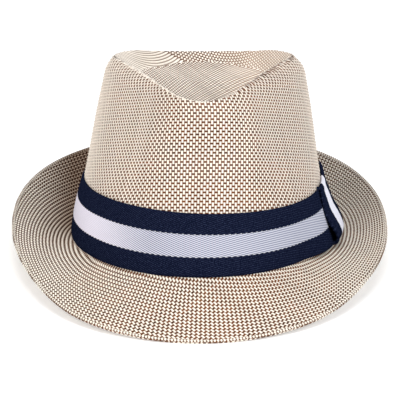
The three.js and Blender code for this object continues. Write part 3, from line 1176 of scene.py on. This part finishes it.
@dataclass
class Brim(Piece):
    """The brim: a ring of the same cloth on the bias, whose beads line up in rings round the hat."""

    beads: int = 276
    rows: int = 72
    rings: float = 20.0
    ring_density: float = 0.66
    edge_density: float = 0.46
    even_share: float = 0.6
    collar_ring: float = -2.0
    rise: float = 0.32
    hem: tuple[float, ...] = (0.5, 0.15, 0.0, 0.5)
    hem_dashes: float = 1.5
    hem_rise: float = 0.3
    fineness: int = 4
    under_step: int = 3
    drift: tuple[Pair, ...] = (
        (-180.0, -12.0), (-135.0, -10.0), (-110.0, -7.5), (-90.0, -5.7), (-70.0, -4.2), (-45.0, -1.8),
        (-20.0, -1.4), (0.0, 0.0), (40.0, 3.4), (60.0, 4.2), (90.0, 4.8), (110.0, 5.2), (135.0, 4.8),
        (180.0, 6.0),
    )

    def _columns(self) -> tuple[Array, Array]:
        """Angles and bead counts of the columns, which stand evenly along a ring part of the way out."""
        sides = all_round()
        sections, lengths = measured(self.form.brim_paths(sides))
        ring = read_along(lengths, sections, lengths[:, -1:] * self.even_share)[:, 0]
        reached = path_lengths(ring[None])
        count = np.linspace(-self.beads / 2, self.beads / 2, self.fineness * self.beads + 1)
        share = (count - count[0]) / (count[-1] - count[0])
        return read_along(reached, sides[None, :, None], share[None] * reached[:, -1:])[0, :, 0], count

    def make(self, material: Material) -> Object:
        """Builds the brim as a closed shell, with the weave in relief on its upper side.

        A thread crosses the rings at 45 degrees, so a point's thread counts come from its ring count out and
        its bead count round. The rings lie closer together toward the edge, and each slips outward on its
        way round, read from the drift table in straight lines. The table's ends differ by whole rings, so
        the beads meet at the back. Along the edge the sewn hem takes ring counts of its own.
        """
        degrees, count = self._columns()
        paths, lengths = measured(self.form.brim_paths(degrees))
        collar = self.form.collar_height
        out = np.linspace(1.0, 0.0, self.rows + 1)
        span = lengths[:, -1:] - collar
        wanted = np.concatenate([collar + span * out[None, :], np.zeros_like(span)], axis=1)
        points = read_along(lengths, paths, wanted)
        rings = self.rings * (self.ring_density * out + self.edge_density / 2 * out**2)
        slipped = np.interp(degrees, *np.array(self.drift).T)
        threads = on_bias(np.append(rings, self.collar_ring)[None, :] - slipped[:, None], -count[:, None])
        hem_rings = np.array(self.hem)
        hem = on_bias(hem_rings[None, :], -self.hem_dashes * count[:, None])
        edge = len(hem_rings) - 1
        relief = beaded_relief(threads, self.rise)
        relief[:, :edge + 1] = self.hem_rise * self.rise * np.cos(2 * np.pi * hem_rings)
        relief[:, -2:] = 0.0
        normals = grid_normals(points)
        work = Patchwork(self.placement)
        top = work.lay(points + normals * relief[..., None], threads, closed=True)
        work.cover(Skin(top.numbers[:, :edge + 1], hem))
        work.cover(top[:, edge:])
        few = np.ix_(np.arange(0, len(count), self.fineness),
                     np.r_[0:self.rows:self.under_step, self.rows, self.rows + 1])
        lower = (points - normals * self.form.thickness)[few]
        work.close(top, work.lay(lower, threads[few], closed=True))
        return work.make("brim_straw", material)


@dataclass
class Band(Piece):
    """The striped ribbon laid round the foot of the crown."""

    width: float = 38.0
    thickness: float = 1.0
    edge_round: float = 1.2
    edge_loss: float = 0.25
    slack: float = 0.8
    slack_side: float = -90.0
    slack_span: Pair = (0.6, 1.0)
    pull: float = 4.5
    pull_side: float = 76.0
    pull_span: Pair = (0.82, 0.98)
    pull_curve: float = 1.5
    middle_height: float = 18.0
    columns: int = 480
    rows: int = 24
    back_step: int = 4

    def make(self, material: Material) -> Object:
        """Builds the ribbon as a closed shell that follows the crown's straight lower wall.

        It bellies out a little on the wearer's right, as a parabola across its width, and its lower edge is
        pulled out under the bow. Each fades out with the cosine of the angle to its own side.
        """
        degrees = all_round(self.columns)

        def toward(side: float, span: Pair) -> Array:
            """1 where the band faces a side, eased to 0 away from it."""
            return smooth_step(np.cos(np.radians(degrees - side)), *span)[:, None]

        bottom, top = (self.form.ribbon.at(edge, degrees)[:, None] for edge in ("bottom", "top"))
        share = np.linspace(0.0, 1.0, self.rows + 1)
        height = bottom + (top - bottom) * share
        side = np.broadcast_to(degrees[:, None], height.shape)
        rounding = 1 - np.minimum(1.0, np.minimum(share, 1 - share) * self.width / self.edge_round) ** 2
        stand = (self.slack * toward(self.slack_side, self.slack_span) * 4 * share * (1 - share)
                 + self.pull * toward(self.pull_side, self.pull_span) * (1 - share) ** self.pull_curve)
        inner = self.form.lower_wall(side, height) + outward(side) * (stand + self.form.joint_gap)[..., None]
        outer = inner + outward(side) * (self.thickness - self.edge_loss * rounding)[:, None]
        reached = self.form.way_round(degrees, self.middle_height)
        places = np.stack(np.broadcast_arrays(reached[:, None], self.width * share), axis=-1)
        work = Patchwork(self.placement)
        face = work.lay(outer, places, closed=True)
        work.cover(face)
        few = np.s_[:, ::self.back_step]
        work.close(face, work.lay(inner[few], places[few], closed=True))
        piece = work.make("band_ribbon", material)
        float(reached[-1]) * MM
        return piece


@dataclass
class Bow(Piece):
    """One width of the ribbon that stands upright over the band on the wearer's left.

    A row of the profile gives its height on the crown's wall, and how far it stands out from there at the
    bow's front edge, its middle and its rear edge.
    """

    width: float = 38.0
    front: float = -31.0
    thickness: float = 1.0
    hem_depth: float = 0.8
    hem_turn: float = 0.7
    hem_columns: int = 4
    hem_end: float = 0.25
    least_stand: float = 0.3
    lift: float = 8.7
    lift_start: float = 20.0
    lift_span: float = 16.0
    columns: int = 48
    row_steps: int = 6
    angle_steps: int = 1440
    profile: tuple[tuple[float, float, float, float], ...] = (
        (34.4, 0.6, 0.6, 0.5),
        (35.0, 1.5, 1.5, 1.2),
        (33.6, 2.7, 2.7, 2.6),
        (30.4, 2.7, 2.8, 2.9),
        (26.0, 2.9, 3.8, 4.2),
        (20.0, 3.4, 5.1, 5.6),
        (14.5, 5.6, 7.3, 7.7),
        (9.5, 8.6, 9.0, 9.1),
        (6.0, 9.5, 9.4, 9.4),
        (3.4, 8.2, 8.2, 8.2),
        (2.3, 5.2, 5.2, 5.2),
        (2.3, 1.9, 1.9, 1.9),
    )

    def _angles(self, distance: Array) -> Array:
        """Angles of the points that lie given ways round the band from its widest side."""
        degrees = np.linspace(0.0, 180.0, self.angle_steps + 1)
        reached = self.form.way_round(degrees, self.form.band_height / 2)
        return np.interp(distance + np.interp(90.0, degrees, reached), reached, degrees)

    def make(self, material: Material) -> Object:
        """Builds the bow as a closed strip: rows of a profile joined by a smooth centripetal curve.

        Between its edges a row follows a parabola. The first columns are the hem, which goes back under the
        front edge. The upper rear corner is pulled up by the fourth power of the way across.
        """
        hem = np.append(np.linspace(1.0, self.hem_end, self.hem_columns), np.zeros(self.columns + 1))[:, None]
        share = np.append(np.zeros(self.hem_columns), np.linspace(0.0, 1.0, self.columns + 1))[:, None]
        degrees = self._angles(self.front + self.width * share + self.hem_depth * hem)
        level, first, middle, last = np.array(self.profile).T
        stand = first + (last - first) * share + (middle - (first + last) / 2) * 4 * (share * (1 - share))
        stand = np.maximum(stand - self.hem_turn * hem, self.least_stand)
        raised = np.clip((level - self.lift_start) / self.lift_span, 0.0, 1.0) ** 2
        side = np.broadcast_to(degrees, stand.shape)
        knots = self.form.lower_wall(side, level + self.lift * share**4 * raised)
        outer = smooth_paths(knots + outward(side) * stand[..., None], self.row_steps)
        inner = outer + grid_normals(outer, closed=False) * self.thickness
        reached = path_lengths(outer)
        places = np.stack([reached, np.broadcast_to(self.width * (1 - share), reached.shape)], axis=-1)
        work = Patchwork(self.placement)
        face, back = work.lay(outer, places), work.lay(inner, places)
        work.cover(face, flipped=True)
        work.cover(back)
        for edge, flipped in ((0, False), (-1, True), (np.s_[:, 0], True), (np.s_[:, -1], False)):
            work.rim(face[edge], back[edge], flipped, smooth=True)
        piece = work.make("bow_ribbon", material)
        length = float(reached[:, -1].mean())
        return piece


# ---- Studio ----


def aimed(place: Vector, target: Vector) -> tuple[float, float, float]:
    """The turn that points a camera or lamp at a place toward a target."""
    return (target - place).to_track_quat("-Z", "Y").to_euler()


@dataclass(frozen=True)
class Lamp:
    """A square area light aimed at the hat."""

    name: str
    place: Triple
    size: float
    power: float
    colour: Triple
    aim: Triple = (0.0, 0.0, 0.06)

    def hang(self) -> None:
        """Adds the lamp."""
        data = bpy.data.lights.new(self.name, "AREA")
        data.energy, data.size, data.color = self.power, self.size, self.colour
        light = add_object(self.name, data)
        light.location = self.place
        light.rotation_euler = aimed(light.location, Vector(self.aim))


@dataclass
class Studio:
    """The camera, a plain pale floor and soft light."""

    placement: Placement
    elevation: float = 21.87
    distance: float = 2.0
    lens: float = 298.8
    sensor: float = 36.0
    clip: Pair = (0.1, 50.0)
    rise: float = 19.28
    aside: float = -0.6
    floor_reach: float = 6.0
    floor_glow: float = 0.27
    surround: float = 0.32
    paper: Colour = (0.92, 0.92, 0.92, 1.0)
    paper_roughness: float = 0.9
    lamps: tuple[Lamp, ...] = (
        Lamp("key", (-1.4, -1.4, 1.3), 1.2, 28.0, (1.0, 0.98, 0.95)),
        Lamp("fill", (1.6, -1.3, 1.2), 1.4, 33.0, (0.95, 0.98, 1.0)),
        Lamp("top", (0.0, -0.3, 2.1), 1.2, 17.0, (1.0, 1.0, 1.0)),
    )

    def make_camera(self) -> None:
        """Sets the camera in front of the hat, a little above it, looking past the middle of its foot."""
        target = Vector(self.placement.rest(np.zeros(3)).tolist())
        e = math.radians(self.elevation)
        back = Vector((0.0, -math.cos(e), math.sin(e)))
        up = Vector((0.0, math.sin(e), math.cos(e)))
        data = bpy.data.cameras.new("camera")
        data.lens, data.sensor_width = self.lens, self.sensor
        data.clip_start, data.clip_end = self.clip
        camera = add_object("camera", data)
        camera.location = target + back * self.distance
        aim = target + up * self.rise * MM + Vector((self.aside * MM, 0.0, 0.0))
        camera.rotation_euler = aimed(camera.location, aim)
        bpy.context.scene.camera = camera

    def make_floor(self) -> None:
        """Lays the floor at height 0."""
        mesh = bpy.data.meshes.new("floor")
        r = self.floor_reach
        mesh.from_pydata([(-r, -r, 0), (r, -r, 0), (r, r, 0), (-r, r, 0)], [], [(0, 1, 2, 3)])
        floor = add_object("floor", mesh)
        material = bpy.data.materials.new("floor_paper")
        material.use_nodes = True
        inputs = material.node_tree.nodes["Principled BSDF"].inputs
        inputs["Base Color"].default_value = self.paper
        inputs["Roughness"].default_value = self.paper_roughness
        inputs["Emission Color"].default_value = WHITE
        inputs["Emission Strength"].default_value = self.floor_glow
        mesh.materials.append(material)

    def make_lights(self) -> None:
        """Hangs wide soft lamps in front and above, and an even surround."""
        world = bpy.data.worlds.new("surround")
        world.use_nodes = True
        inputs = world.node_tree.nodes["Background"].inputs
        inputs["Color"].default_value = WHITE
        inputs["Strength"].default_value = self.surround
        bpy.context.scene.world = world
        for lamp in self.lamps:
            lamp.hang()


def main() -> None:
    """Builds the studio and the hat's pieces in order, and reports each piece."""
    logging.basicConfig(level=logging.INFO, format="%(message)s")
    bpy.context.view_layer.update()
    form = HatForm()
    placement = Placement()
    studio = Studio(placement)
    studio.make_camera()
    bpy.context.scene.view_settings.view_transform = "Standard"
    studio.make_floor()
    studio.make_lights()
    weave = plain_weave_group()
    straw = StrawFinish(opening=0.02, sheen=0.25).make("straw_cloth", weave)
    ribbon = RibbonFinish().make("striped_ribbon")
    crown = Crown(form, placement)
    front, back = crown.make_wall(straw)
    # The dent's cream is lighter than the wall's, as painted light on the dent.
    dent = crown.make_dent(StrawFinish(
        cream=(0.95, 0.88, 0.79, 1.0), brown=(0.105, 0.034, 0.009, 1.0), cross_width=0.26,
        back_opening=0.07, paling=0.5).make("dent_cloth", weave))
    brim = Brim(form, placement).make(StrawFinish(
        cream=(0.91, 0.83, 0.72, 1.0), brown=(0.110, 0.034, 0.008, 1.0), gap=(0.10, 0.036, 0.010, 1.0),
        cross_width=0.34, long_width=0.31, deepening_and_light=0.5, shade=0.9).make("brim_cloth", weave))
    band = Band(form, placement).make(ribbon)
    # The bow's white and twill valleys are lighter than the band's: painted light on the bow.
    bow = Bow(form, placement).make(RibbonFinish(
        white=(0.84, 0.83, 0.90, 1.0), shadow=(0.64, 0.64, 0.74, 1.0)).make("bow_cloth"))
    stands_for = {front: "crown", back: "crown", dent: "crown", brim: "brim", band: "band", bow: "bow"}
    for piece, node in stands_for.items():
        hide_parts(node)
        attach(piece, "root")
        "ribbon" if node in ("band", "bow") else "straw"
        piece.data.calc_loop_triangles()
        log.info("%s: %d triangles", piece.name, len(piece.data.loop_triangles))


if __name__ == "__main__":
    main()
